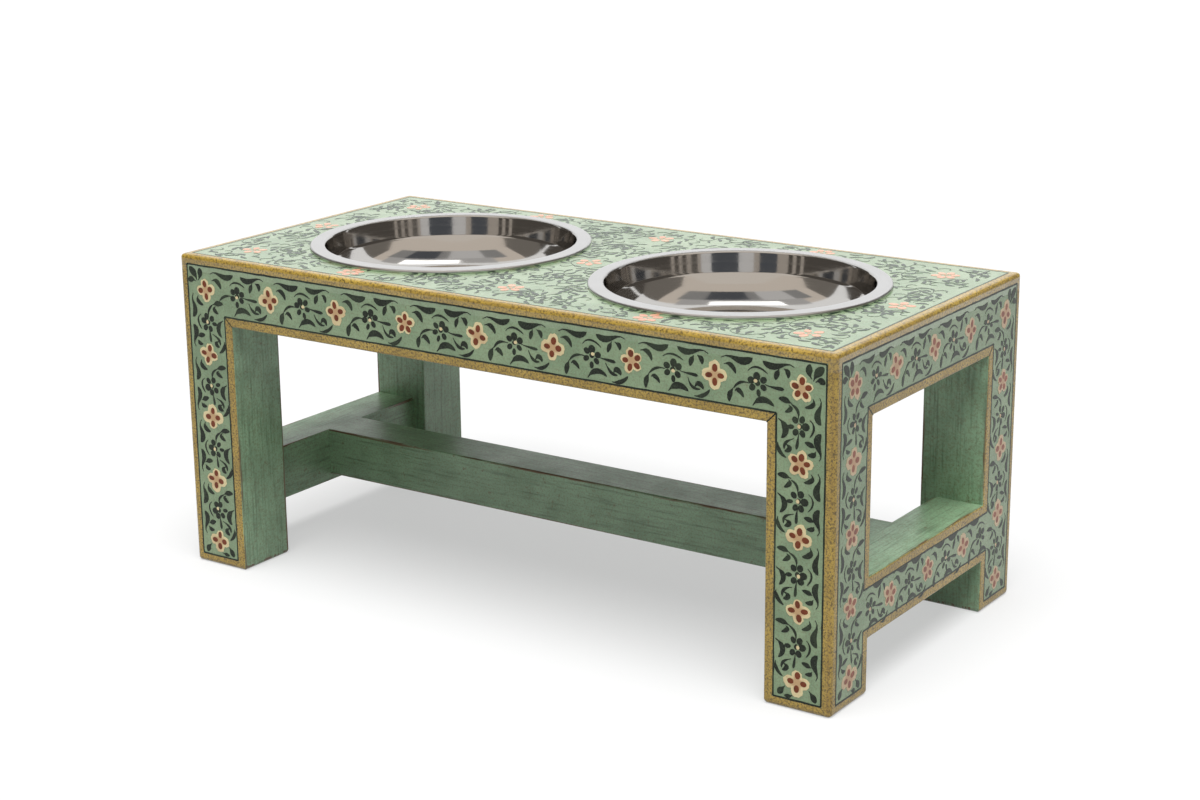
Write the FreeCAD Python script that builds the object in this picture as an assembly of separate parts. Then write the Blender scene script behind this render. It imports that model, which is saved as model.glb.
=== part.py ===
import FreeCAD, Part
import os
from math import sin, tan

# Raised dog bowl stand: a timber table frame that carries two lift-out steel bowls.
# Millimetres, +Z up. The origin is on the floor under the middle of the stand,
# +X runs along its length to the right, and -Y faces the front.

# Bowls
RIM_DIAMETER = 214.0             # over the turned-down hem
BRIM_WIDTH = 11.0                # from the hem to the top of the wall
BRIM_RISE = 3.0                  # top of the brim above the board
BRIM_FALL = 0.6                  # slope of the brim towards its hem
BOWL_SHEET = 0.8                 # thickness of the pressed steel
COLLAR_DEPTH = 16.0              # steep upper wall
COLLAR_TAPER = 2.5               # how far the collar draws in on its way down
BOWL_DEPTH = 38.0                # brim to base, at the middle of the sheet
BASE_DIAMETER = 152.0            # where the wall meets the base, before the bend
HEM_BEND = 1.2                   # bend radii at the middle of the sheet
BRIM_BEND = 2.2
COLLAR_BEND = 6.0
BASE_BEND = 40.0

# Places of the bowls on the board
BOWL_GAP = 42.0                  # between the two rims
END_MARGIN = 45.0                # rim to the end of the board
SIDE_MARGIN = 30.0               # rim to the front or back edge of the board
HOLE_CLEARANCE = 1.6             # around the bowl's wall in the board

# Timber
STAND_HEIGHT = 244.0             # floor to the top of the board
BOARD_THICKNESS = 12.0
LEG_SIDE = 50.0
APRON_HEIGHT = 39.0
APRON_THICKNESS = 22.0
STRETCHER_LIFT = 39.5            # floor to the underside of the side stretchers
STRETCHER_HEIGHT = 43.0
STRETCHER_THICKNESS = 38.0
CENTRE_STRETCHER_HEIGHT = 37.5
CENTRE_STRETCHER_WIDTH = 40.0
OUTER_ARRIS = 3.0                # rounding of the outer corners, the board's top edge and the feet
INNER_ARRIS = 1.0                # easing of the other long edges

# Dowels, two to a joint
DOWEL_DIAMETER = 8.0
DOWEL_LENGTH = 38.0
DOWEL_PITCH = 19.0               # between the two dowels of a joint
DOWEL_CHAMFER = 1.0
DOWEL_CLEARANCE = 0.1            # glue line around a dowel
DOWEL_END_GAP = 1.0              # glue pocket past each end

# Cleats under the board, and their screws
CLEAT_SIDE = 18.0
LONG_SIDE_CLEAT_LENGTH = 90.0    # on the front and back aprons, between the bowls
CLEAT_END_GAP = 2.0              # from the end cleats to the legs
SCREW_LENGTH = 25.0
SCREW_DIAMETER = 4.0
SCREW_HEAD_DIAMETER = 8.0
SCREW_HEAD_HEIGHT = 2.4
SCREW_POINT = 5.0                # length of the tapered point
SCREW_CLEARANCE = 0.1
RECESS_SPAN = 4.4                # cross recess in the head
RECESS_WIDTH = 1.0
RECESS_DEPTH = 1.4
BOARD_SCREW_SHARE = 0.36         # of a cleat's length, from its middle
APRON_SCREW_SHARE = 0.20

CUT_OVERRUN = 5.0
SAME_PLACE = 0.001               # points closer than this are one point

# Sizes and places that follow
RIM_RADIUS = RIM_DIAMETER / 2
WALL_RADIUS = RIM_RADIUS - BRIM_WIDTH
HOLE_RADIUS = WALL_RADIUS + BOWL_SHEET / 2 + HOLE_CLEARANCE
BOWL_X = (RIM_DIAMETER + BOWL_GAP) / 2
HALF_LENGTH = BOWL_X + RIM_RADIUS + END_MARGIN
HALF_DEPTH = RIM_RADIUS + SIDE_MARGIN
BOARD_UNDERSIDE = STAND_HEIGHT - BOARD_THICKNESS
APRON_UNDERSIDE = BOARD_UNDERSIDE - APRON_HEIGHT
STRETCHER_TOP = STRETCHER_LIFT + STRETCHER_HEIGHT
LEG_INNER_X = HALF_LENGTH - LEG_SIDE
LEG_INNER_Y = HALF_DEPTH - LEG_SIDE
APRON_INNER_X = HALF_LENGTH - APRON_THICKNESS
APRON_INNER_Y = HALF_DEPTH - APRON_THICKNESS
STRETCHER_INNER_X = HALF_LENGTH - STRETCHER_THICKNESS

Vector = FreeCAD.Vector
ORIGIN = Vector(0, 0, 0)
X_AXIS = Vector(1, 0, 0)
Y_AXIS = Vector(0, 1, 0)
Z_AXIS = Vector(0, 0, 1)
FULL_TURN = 360
BOTH = (-1, 1)
ENDS = {"left": -1, "right": 1}
SIDES = {"front": -1, "back": 1}


def block(x, y, z):
    """A block between the two limits given for each axis."""
    size = [max(limits) - min(limits) for limits in (x, y, z)]
    return Part.makeBox(*size, Vector(min(x), min(y), min(z)))


def inwards(sign, outer, thickness):
    """Limits of a piece that starts at an outer face and reaches in by its thickness."""
    return sign * outer, sign * (outer - thickness)


def centred(length):
    return -length / 2, length / 2


def same(a, b):
    return abs(a - b) < SAME_PLACE


def eased(shape, radius, chosen):
    """The shape with its chosen edges rounded; an edge is chosen if all its end points are."""
    edges = [edge for edge in shape.Edges if all(chosen(vertex.Point) for vertex in edge.Vertexes)]
    return shape.makeFillet(radius, edges)


def rod(centre, axis, diameter, length):
    return Part.makeCylinder(diameter / 2, length, centre - axis * (length / 2), axis)


def placed(shape, point, direction):
    """A shape made along +Z from the origin, set at a point and turned to a direction."""
    copy = shape.copy()
    copy.Placement = FreeCAD.Placement(point, FreeCAD.Rotation(Z_AXIS, direction))
    return copy


def rail_dowels(rail_ends, axis, spread):
    """Centre and axis of the dowels of a rail, two at each end, set apart along one direction."""
    return [(end + spread * (sign * DOWEL_PITCH / 2), axis) for end in rail_ends for sign in BOTH]


def dowel_places():
    """Places of all dowels, by the rail that they hold."""
    apron_z = APRON_UNDERSIDE + APRON_HEIGHT / 2
    stretcher_z = STRETCHER_LIFT + STRETCHER_HEIGHT / 2
    centre_z = STRETCHER_TOP - CENTRE_STRETCHER_HEIGHT / 2
    end_rails = {"_apron": (APRON_THICKNESS, apron_z), "_stretcher": (STRETCHER_THICKNESS, stretcher_z)}
    places = {}
    for name, side in SIDES.items():
        y = side * (HALF_DEPTH - APRON_THICKNESS / 2)
        rail_ends = [Vector(end * LEG_INNER_X, y, apron_z) for end in BOTH]
        places[name + "_apron"] = rail_dowels(rail_ends, X_AXIS, Z_AXIS)
    for name, end in ENDS.items():
        for rail, (thickness, z) in end_rails.items():
            x = end * (HALF_LENGTH - thickness / 2)
            rail_ends = [Vector(x, side * LEG_INNER_Y, z) for side in BOTH]
            places[name + rail] = rail_dowels(rail_ends, Y_AXIS, Z_AXIS)
    rail_ends = [Vector(end * STRETCHER_INNER_X, 0, centre_z) for end in BOTH]
    places["centre_stretcher"] = rail_dowels(rail_ends, X_AXIS, Y_AXIS)
    return places


def dowel(centre, axis):
    shape = rod(centre, axis, DOWEL_DIAMETER, DOWEL_LENGTH)
    return shape.makeChamfer(DOWEL_CHAMFER, [edge for edge in shape.Edges if edge.Closed])


def dowel_hole(centre, axis):
    return rod(centre, axis, DOWEL_DIAMETER + 2 * DOWEL_CLEARANCE, DOWEL_LENGTH + 2 * DOWEL_END_GAP)


def cleat_places():
    """Limits in x and y of every cleat, its length, its long axis and the way to its apron."""
    end_length = 2 * (LEG_INNER_Y - CLEAT_END_GAP)
    places = {}
    for name, side in SIDES.items():
        limits = centred(LONG_SIDE_CLEAT_LENGTH), inwards(side, APRON_INNER_Y, CLEAT_SIDE)
        places[name + "_cleat"] = limits, LONG_SIDE_CLEAT_LENGTH, X_AXIS, Y_AXIS * side
    for name, end in ENDS.items():
        limits = inwards(end, APRON_INNER_X, CLEAT_SIDE), centred(end_length)
        places[name + "_cleat"] = limits, end_length, Y_AXIS, X_AXIS * end
    return places


def screw_places():
    """Head point and direction of the screws into the aprons and into the board."""
    into_aprons = []
    into_board = []
    for (x, y), length, along, outward in CLEATS.values():
        middle = Vector(sum(x) / 2, sum(y) / 2, BOARD_UNDERSIDE - CLEAT_SIDE / 2)
        for sign in BOTH:
            apron_step = along * (sign * APRON_SCREW_SHARE * length)
            board_step = along * (sign * BOARD_SCREW_SHARE * length)
            into_aprons.append((middle + apron_step - outward * (CLEAT_SIDE / 2), outward))
            into_board.append((middle + board_step - Z_AXIS * (CLEAT_SIDE / 2), Z_AXIS))
    return into_aprons, into_board


def screw_blank(clearance):
    """A countersunk screw without its recess, along +Z, or the hole that takes it."""
    shank = SCREW_DIAMETER / 2 + clearance
    head = SCREW_HEAD_DIAMETER / 2 + clearance
    outline = [ORIGIN, Vector(head, 0, 0), Vector(shank, 0, SCREW_HEAD_HEIGHT),
               Vector(shank, 0, SCREW_LENGTH - SCREW_POINT), Vector(0, 0, SCREW_LENGTH + clearance), ORIGIN]
    return Part.Face(Part.makePolygon(outline)).revolve(ORIGIN, Z_AXIS, FULL_TURN)


def screw():
    recess_z = 0, RECESS_DEPTH
    shape = screw_blank(0)
    shape = shape.cut(block(centred(RECESS_SPAN), centred(RECESS_WIDTH), recess_z))
    return shape.cut(block(centred(RECESS_WIDTH), centred(RECESS_SPAN), recess_z))


def screws(places):
    pattern = screw()
    return Part.makeCompound([placed(pattern, point, direction) for point, direction in places])


def all_holes():
    dowel_holes = [dowel_hole(*place) for places in DOWELS.values() for place in places]
    pattern = screw_blank(SCREW_CLEARANCE)
    return dowel_holes + [placed(pattern, *place) for place in APRON_SCREWS + BOARD_SCREWS]


def drilled(shape):
    """The shape with every dowel and screw hole that reaches into it."""
    return shape.cut([hole for hole in HOLES if shape.BoundBox.intersect(hole.BoundBox)])


def top_board():
    shape = block(centred(2 * HALF_LENGTH), centred(2 * HALF_DEPTH), (BOARD_UNDERSIDE, STAND_HEIGHT))
    corners = [edge for edge in shape.Edges if not same(edge.Vertexes[0].Z, edge.Vertexes[1].Z)]
    shape = shape.makeFillet(OUTER_ARRIS, corners)
    shape = eased(shape, OUTER_ARRIS, lambda point: same(point.z, STAND_HEIGHT))
    for end in BOTH:
        middle = Vector(end * BOWL_X, 0, STAND_HEIGHT - BOARD_THICKNESS / 2)
        shape = shape.cut(rod(middle, Z_AXIS, 2 * HOLE_RADIUS, BOARD_THICKNESS + 2 * CUT_OVERRUN))
    return drilled(shape)


def leg(end, side):
    """A square post; its outer corner and foot are rounded, and it is sharp where aprons lie flush."""
    x = inwards(end, HALF_LENGTH, LEG_SIDE)
    y = inwards(side, HALF_DEPTH, LEG_SIDE)
    shape = block(x, y, (0, BOARD_UNDERSIDE))
    shape = eased(shape, INNER_ARRIS, lambda point: same(point.x, x[1]) and same(point.y, y[1]))
    shape = eased(shape, OUTER_ARRIS, lambda point: same(point.x, x[0]) and same(point.y, y[0]))
    shape = eased(shape, OUTER_ARRIS, lambda point: same(point.z, 0))
    return drilled(shape)


def eased_along(shape, x, y, levels):
    """The shape with its longer edges at the given levels eased."""
    lengthwise = max((x, y), key=lambda limits: abs(limits[1] - limits[0]))
    edges = [edge for edge in shape.Edges
             if any(all(same(vertex.Z, level) for vertex in edge.Vertexes) for level in levels)
             and same(edge.Length, abs(lengthwise[1] - lengthwise[0]))]
    return shape.makeFillet(INNER_ARRIS, edges)


def apron(x, y):
    """A rail under the board with its two lower long edges eased."""
    shape = block(x, y, (APRON_UNDERSIDE, BOARD_UNDERSIDE))
    return drilled(eased_along(shape, x, y, [APRON_UNDERSIDE]))


def side_stretcher(end):
    x = inwards(end, HALF_LENGTH, STRETCHER_THICKNESS)
    y = centred(2 * LEG_INNER_Y)
    shape = block(x, y, (STRETCHER_LIFT, STRETCHER_TOP))
    return drilled(eased_along(shape, x, y, [STRETCHER_LIFT, STRETCHER_TOP]))


def centre_stretcher():
    x = centred(2 * STRETCHER_INNER_X)
    y = centred(CENTRE_STRETCHER_WIDTH)
    underside = STRETCHER_TOP - CENTRE_STRETCHER_HEIGHT
    shape = block(x, y, (underside, STRETCHER_TOP))
    return drilled(eased_along(shape, x, y, [underside, STRETCHER_TOP]))


def cleat(x, y):
    return drilled(block(x, y, (BOARD_UNDERSIDE - CLEAT_SIDE, BOARD_UNDERSIDE)))


def offset_path(points, distance):
    """The corners of a path in the XZ plane, moved to the left of its direction."""
    normals = [Y_AXIS.cross(start - finish).normalize() for start, finish in zip(points, points[1:])]
    before = normals[:1] + normals
    after = normals + normals[-1:]
    return [point + (a + b) * (distance / (1 + a.dot(b))) for point, a, b in zip(points, before, after)]


def rounded_path(points, radii):
    """Edges along a path, with each inner corner rounded by its radius."""
    edges = []
    start = points[0]
    for before, corner, after, radius in zip(points, points[1:], points[2:], radii):
        back = (before - corner).normalize()
        ahead = (after - corner).normalize()
        half_angle = back.getAngle(ahead) / 2
        enter = corner + back * (radius / tan(half_angle))
        leave = corner + ahead * (radius / tan(half_angle))
        middle = corner + (back + ahead).normalize() * (radius / sin(half_angle) - radius)
        edges.append(Part.makeLine(start, enter))
        edges.append(Part.Arc(enter, middle, leave).toShape())
        start = leave
    edges.append(Part.makeLine(start, points[-1]))
    return edges


def bowl(end):
    """One pressed sheet: base, wall, steep collar, brim, and a hem that stands on the board."""
    brim_z = STAND_HEIGHT + BRIM_RISE - BOWL_SHEET / 2
    hem_radius = RIM_RADIUS - BOWL_SHEET / 2
    middle = [Vector(0, 0, brim_z - BOWL_DEPTH),
              Vector(BASE_DIAMETER / 2, 0, brim_z - BOWL_DEPTH),
              Vector(WALL_RADIUS - COLLAR_TAPER, 0, brim_z - COLLAR_DEPTH),
              Vector(WALL_RADIUS, 0, brim_z),
              Vector(hem_radius, 0, brim_z - BRIM_FALL),
              Vector(hem_radius, 0, STAND_HEIGHT)]
    half = BOWL_SHEET / 2
    inner = offset_path(middle, half)
    outer = offset_path(middle, -half)
    edges = rounded_path(inner, [BASE_BEND - half, COLLAR_BEND - half, BRIM_BEND + half, HEM_BEND + half])
    edges += rounded_path(outer, [BASE_BEND + half, COLLAR_BEND + half, BRIM_BEND - half, HEM_BEND - half])
    edges += [Part.makeLine(inner[0], outer[0]), Part.makeLine(inner[-1], outer[-1])]
    section = Part.Face(Part.Wire(Part.__sortEdges__(edges)))
    shape = section.revolve(ORIGIN, Z_AXIS, FULL_TURN)
    shape.translate(X_AXIS * (end * BOWL_X))
    return shape


DOWELS = dowel_places()
CLEATS = cleat_places()
APRON_SCREWS, BOARD_SCREWS = screw_places()
HOLES = all_holes()

pieces = {"top_board": top_board(), "centre_stretcher": centre_stretcher()}
for side_name, side_sign in SIDES.items():
    side_y = inwards(side_sign, HALF_DEPTH, APRON_THICKNESS)
    pieces[side_name + "_apron"] = apron(centred(2 * LEG_INNER_X), side_y)
    for end_name, end_sign in ENDS.items():
        pieces[side_name + "_" + end_name + "_leg"] = leg(end_sign, side_sign)
for end_name, end_sign in ENDS.items():
    end_x = inwards(end_sign, HALF_LENGTH, APRON_THICKNESS)
    pieces[end_name + "_apron"] = apron(end_x, centred(2 * LEG_INNER_Y))
    pieces[end_name + "_stretcher"] = side_stretcher(end_sign)
    pieces[end_name + "_bowl"] = bowl(end_sign)
for piece_name, piece_places in DOWELS.items():
    pieces[piece_name + "_dowels"] = Part.makeCompound([dowel(*place) for place in piece_places])
for cleat_name, (cleat_limits, *cleat_rest) in CLEATS.items():
    pieces[cleat_name] = cleat(*cleat_limits)
pieces["apron_screws"] = screws(APRON_SCREWS)
pieces["board_screws"] = screws(BOARD_SCREWS)

os.makedirs("parts", exist_ok=True)
for piece_name, piece_shape in pieces.items():
    piece_shape.exportStep("parts/" + piece_name + ".step")
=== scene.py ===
"""Dog bowl stand: a painted timber stand with two lift-out steel bowls, dressed around its frame."""
from collections import namedtuple
from math import atan2, cos, pi, radians, sin, tan
from random import Random

import bmesh
import bpy
from bpy.props import FloatProperty, FloatVectorProperty, IntProperty, PointerProperty
from mathutils import Matrix, Vector


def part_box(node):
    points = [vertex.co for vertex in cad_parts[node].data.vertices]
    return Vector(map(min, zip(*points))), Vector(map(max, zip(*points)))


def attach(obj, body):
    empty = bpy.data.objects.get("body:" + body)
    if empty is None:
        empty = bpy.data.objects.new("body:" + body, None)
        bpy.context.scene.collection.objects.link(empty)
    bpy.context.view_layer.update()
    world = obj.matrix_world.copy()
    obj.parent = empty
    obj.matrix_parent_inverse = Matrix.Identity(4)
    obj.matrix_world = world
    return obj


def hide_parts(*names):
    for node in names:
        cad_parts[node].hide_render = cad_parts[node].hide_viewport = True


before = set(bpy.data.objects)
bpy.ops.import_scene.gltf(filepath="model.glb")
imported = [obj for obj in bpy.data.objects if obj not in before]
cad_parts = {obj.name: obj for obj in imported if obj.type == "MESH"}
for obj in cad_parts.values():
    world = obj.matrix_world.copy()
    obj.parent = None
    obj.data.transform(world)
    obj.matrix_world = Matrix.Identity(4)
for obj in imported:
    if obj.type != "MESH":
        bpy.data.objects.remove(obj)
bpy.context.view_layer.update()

bl_info = {
    "name": "Dog Bowl Stand",
    "version": (1, 0, 0),
    "blender": (4, 5, 0),
    "location": "View3D > Sidebar > Bowl Stand",
    "description": "Builds a painted dog bowl stand with two steel bowls around its frame",
    "category": "Object",
}

MM = 0.001
BOTH = (-1, 1)

# Places read from the frame

BOARD_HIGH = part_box("top_board")[1]
LEG_LOW, LEG_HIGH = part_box("front_right_leg")
BOWL_LOW, BOWL_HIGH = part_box("right_bowl")
HALF_LENGTH, HALF_DEPTH, STAND_TOP = BOARD_HIGH
APRON_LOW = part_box("front_apron")[0].z
APRON_MIDDLE = (STAND_TOP + APRON_LOW) / 2
STRETCHER_LOW, STRETCHER_HIGH = (corner.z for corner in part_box("right_stretcher"))
STRETCHER_MIDDLE = (STRETCHER_LOW + STRETCHER_HIGH) / 2
OPENING_X = LEG_LOW.x
OPENING_Y = -LEG_HIGH.y
BOWL_X = (BOWL_LOW.x + BOWL_HIGH.x) / 2
RIM_RADIUS = (BOWL_HIGH.x - BOWL_LOW.x) / 2
BOARD_HOLE_RADIUS = 98 * MM


def nodes_of(kind):
    """The frame's nodes of one kind, by the ending of their names."""
    return [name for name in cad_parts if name.endswith("_" + kind)]


LEGS = ("front_left_leg", "front_right_leg", "back_left_leg", "back_right_leg")
APRONS = ("front_apron", "back_apron", "left_apron", "right_apron")
STRETCHERS = ("left_stretcher", "right_stretcher", "centre_stretcher")
TIMBERS = ("top_board", *LEGS, *APRONS, *STRETCHERS)
CLEATS, DOWELS, SCREWS, BOWLS = map(nodes_of, ("cleat", "dowels", "screws", "bowl"))
ALONG_X, ALONG_Y, ALONG_Z = range(3)


def grain_axis(node):
    """The axis that a rail, a cleat or a group of dowels lies along."""
    return ALONG_X if node.startswith(("front", "back", "centre")) else ALONG_Y


# Settings that a user may change

def from_screen(*screen):
    """A colour as seen on a screen, 0 to 255, as the linear values that shaders take."""
    def linear(value):
        share = value / 255
        if share <= 0.04045:
            return share / 12.92
        return ((share + 0.055) / 1.055) ** 2.4
    return tuple(round(linear(value), 4) for value in screen)


def length(name, description, default):
    """A length in metres."""
    return FloatProperty(name=name, description=description, default=default, unit="LENGTH", precision=5)


def degrees(name, description, default):
    """An angle, given in degrees."""
    return FloatProperty(name=name, description=description, default=radians(default), subtype="ANGLE")


def plain_number(name, description, default):
    """A number without a unit."""
    return FloatProperty(name=name, description=description, default=default)


def whole_number(name, description, default):
    """A count."""
    return IntProperty(name=name, description=description, default=default)


def colour(name, description, default):
    """A colour in linear values."""
    return FloatVectorProperty(name=name, description=description, default=default, size=3,
                               subtype="COLOR", min=0, max=1)


def paint_tone(name, description, *screen):
    """A colour given as seen on a screen."""
    return colour(name, description, from_screen(*screen))


class TimberSizes(bpy.types.PropertyGroup):
    """Roundings and wear of the timber."""
    outer_arris: length("Outer rounding", "Rounding of the outer corners, top edge and feet", 3 * MM)
    inner_arris: length("Inner easing", "Easing of the other long edges", 1 * MM)
    wear_reach: length("Wear reach", "How far rubbed paint reaches in from an edge", 4 * MM)
    arris_steps: whole_number("Rounding steps", "Faces across a rounded edge", 4)


class PaintSizes(bpy.types.PropertyGroup):
    """Widths and thicknesses of the painted border."""
    coat: length("Paint thickness", "How far the thickest paint stands on the timber", 0.15 * MM)
    gold_width: length("Gold band", "Width of the gold band along every outer edge", 6.5 * MM)
    line_width: length("Line width", "Width of the dark line inside the gold band", 1.3 * MM)
    flower_radius: length("Flower radius", "Middle to petal tip of the cream flowers", 9.6 * MM)


class PaintColours(bpy.types.PropertyGroup):
    """Colours of the painted stand."""
    mint: paint_tone("Mint", "Ground colour of the decorated faces", 140, 165, 126)
    mint_shade: paint_tone("Mint shade", "Darker clouds in the mint ground", 116, 143, 108)
    gold: paint_tone("Gold", "Ochre gold of the edge bands", 188, 157, 66)
    gold_shade: paint_tone("Gold shade", "Darker clouds in the gold", 152, 124, 48)
    gold_fleck: paint_tone("Gold fleck", "Dark flecks in the gold", 74, 61, 28)
    plain: paint_tone("Plain green", "Undecorated inner faces", 150, 185, 148)
    plain_shade: paint_tone("Plain shade", "Darker grain of the plain green", 92, 120, 92)
    dark: paint_tone("Dark green", "Leaves, sprigs and lines", 22, 30, 18)
    dark_thin: paint_tone("Thin dark green", "Leaves where the brush ran dry", 66, 80, 58)
    cream: paint_tone("Cream", "Flower petals", 226, 210, 162)
    cream_shade: paint_tone("Cream shade", "Hearts of the flowers and thin paint on them", 190, 148, 104)
    rust: paint_tone("Rust", "Spots on the petals", 122, 58, 30)
    rust_shade: paint_tone("Rust shade", "Darker spots on the petals", 70, 34, 20)
    # Colours for the ends: the front's leaves and spots made paler and its petals pinker, a painted sheen
    # for the ends seen at a glancing angle.
    sheened: paint_tone("Sheened green", "Leaves and lines on the ends", 28, 36, 24)
    sheened_thin: paint_tone("Thin faded green", "Leaves on the ends where the brush ran dry", 64, 78, 58)
    blush: paint_tone("Blush", "Flower petals on the ends", 206, 182, 146)
    blush_shade: paint_tone("Blush shade", "Hearts of the flowers on the ends", 188, 146, 110)
    brick: paint_tone("Brick", "Spots on the petals on the ends", 148, 78, 48)
    brick_shade: paint_tone("Brick shade", "Darker spots on the ends", 98, 54, 36)
    sage: paint_tone("Sage", "Leaves and line on the top", 34, 50, 36)
    sage_thin: paint_tone("Thin sage", "Leaves on the top where the brush ran dry", 72, 94, 72)
    salmon: paint_tone("Salmon", "Flowers on the top", 208, 140, 108)
    salmon_thin: paint_tone("Thin salmon", "Flowers on the top where the brush ran dry", 214, 182, 150)
    worn: paint_tone("Worn wood", "Timber that shows through rubbed paint", 104, 74, 44)
    bare: paint_tone("Bare wood", "Cleats and dowels", 196, 158, 110)
    bare_shade: paint_tone("Bare wood grain", "Dark grain of the bare wood", 150, 108, 68)


class BowlSizes(bpy.types.PropertyGroup):
    """Section of the pressed steel bowls, as in the frame."""
    sheet: length("Sheet", "Thickness of the steel", 0.8 * MM)
    brim_width: length("Brim width", "Flat brim outside the collar", 11 * MM)
    brim_fall: length("Brim fall", "Drop of the brim towards its edge", 0.6 * MM)
    brim_lift: length("Brim lift", "Middle of the brim's sheet above the board", 2.6 * MM)
    collar_depth: length("Collar depth", "Height of the steep wall under the brim", 16 * MM)
    collar_taper: length("Collar taper", "How far the steep wall leans in", 2.5 * MM)
    base_radius: length("Base radius", "Where the bottom and the side would meet unbent", 76 * MM)
    base_bend: length("Base bend", "Bend between bottom and side", 40 * MM)
    collar_bend: length("Collar bend", "Bend between side and collar", 6 * MM)
    brim_bend: length("Brim bend", "Bend between collar and brim", 2.2 * MM)
    hem_bend: length("Hem bend", "Bend at the brim's outer edge", 1.2 * MM)
    turns: whole_number("Turn steps", "Faces round a bowl", 160)


class SteelColours(bpy.types.PropertyGroup):
    """Colours of the bowls and screws."""
    polished: colour("Polished steel", "Inside of the bowls", (0.60, 0.585, 0.565))
    satin: colour("Satin steel", "Brims of the bowls", (0.70, 0.70, 0.70))
    zinc: colour("Zinc", "Screws", (0.52, 0.52, 0.50))


class StageSettings(bpy.types.PropertyGroup):
    """Camera and light."""
    eye: FloatVectorProperty(name="Camera place", description="Where the camera stands", size=3,
                             subtype="TRANSLATION", unit="LENGTH", default=(0.9217, -1.3332, 0.6028))
    yaw: degrees("Camera turn", "Turn of the camera to the left of straight ahead", 34.42)
    pitch: degrees("Camera tilt", "Downward tilt of the camera", 15.97)
    roll: degrees("Camera roll", "Roll of the camera", -0.546)
    lens: FloatProperty(name="Lens", description="Focal length", subtype="DISTANCE_CAMERA", default=67.89)
    key_strength: plain_number("Key", "Strength of the overhead key light", 4.7)
    key_spread: degrees("Key spread", "Apparent size of the key light", 50)
    sky: plain_number("Sky", "Strength of the light from all round", 0.24)
    floor_tone: plain_number("Floor tone", "How much light the floor sends back", 0.33)
    floor_glow: plain_number("Floor glow", "White added to the floor as seen", 0.5)


def timber_sizes():
    return bpy.context.scene.stand_timber


def paint_sizes():
    return bpy.context.scene.stand_paint


def colours():
    return bpy.context.scene.stand_colours


# Materials

# Noise patterns: scale, detail and roughness, then the values between which each one comes to show.
Pattern = namedtuple("Pattern", "scale detail rough start end")
CLOUDS = Pattern(34, 5, 0.65, 0.36, 0.66)
STREAKS = Pattern(520, 4, 0.65, 0.45, 0.75)
FLECKS = Pattern(650, 4, 0.75, 0.45, 0.62)
CHIPS = Pattern(170, 4, 0.75, 0.63, 0.66)
RUBS = Pattern(190, 4, 0.7, 0.3, 0.75)
THIN_CLOUDS = Pattern(55, 2, 0.5, 0.45, 0.7)
WOOD_GRAIN = Pattern(260, 5, 0.6, 0.4, 0.65)
WOOD_PORES = Pattern(1500, 2, 0.5, 0.6, 0.7)
SMEARS = Pattern(45, 4, 0.6, 0.35, 0.7)
ZINC_PATCHES = Pattern(900, 3, 0.6, 0.4, 0.7)
NOISE_RANGE = (0.3, 0.7)


class Nodes:
    """Adds and joins the nodes of one tree."""

    def __init__(self, tree):
        self.tree = tree

    def feed(self, socket, value):
        """Joins a socket to another, or sets its value, a colour without its alpha."""
        if isinstance(value, bpy.types.NodeSocket):
            self.tree.links.new(value, socket)
        elif socket.type == "RGBA":
            socket.default_value = (*value, 1)
        else:
            socket.default_value = value

    def add(self, kind, inputs=(), **settings):
        """A new node with its settings made and its inputs fed."""
        made = self.tree.nodes.new("ShaderNode" + kind)
        for name, value in settings.items():
            setattr(made, name, value)
        for name, value in dict(inputs).items():
            self.feed(made.inputs[name], value)
        return made

    def math(self, kind, *values):
        """Values joined by arithmetic."""
        return self.add("Math", enumerate(values), operation=kind).outputs["Value"]

    def ramp(self, value, start, end, low=0.0, high=1.0):
        """A value eased from low to high as the given one goes from start to end."""
        return self.add("MapRange", {"Value": value, "From Min": start, "From Max": end, "To Min": low,
                                     "To Max": high}, interpolation_type="SMOOTHSTEP").outputs["Result"]

    def directly_seen(self, hidden, shown):
        """One value for rays from the camera, from mirrors and through glass, and another for the rest."""
        path = self.add("LightPath").outputs
        seen = self.math("MAXIMUM", path["Is Camera Ray"], path["Is Glossy Ray"])
        seen = self.math("MAXIMUM", seen, path["Is Transmission Ray"])
        return self.ramp(seen, 0, 1, hidden, shown)


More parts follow.
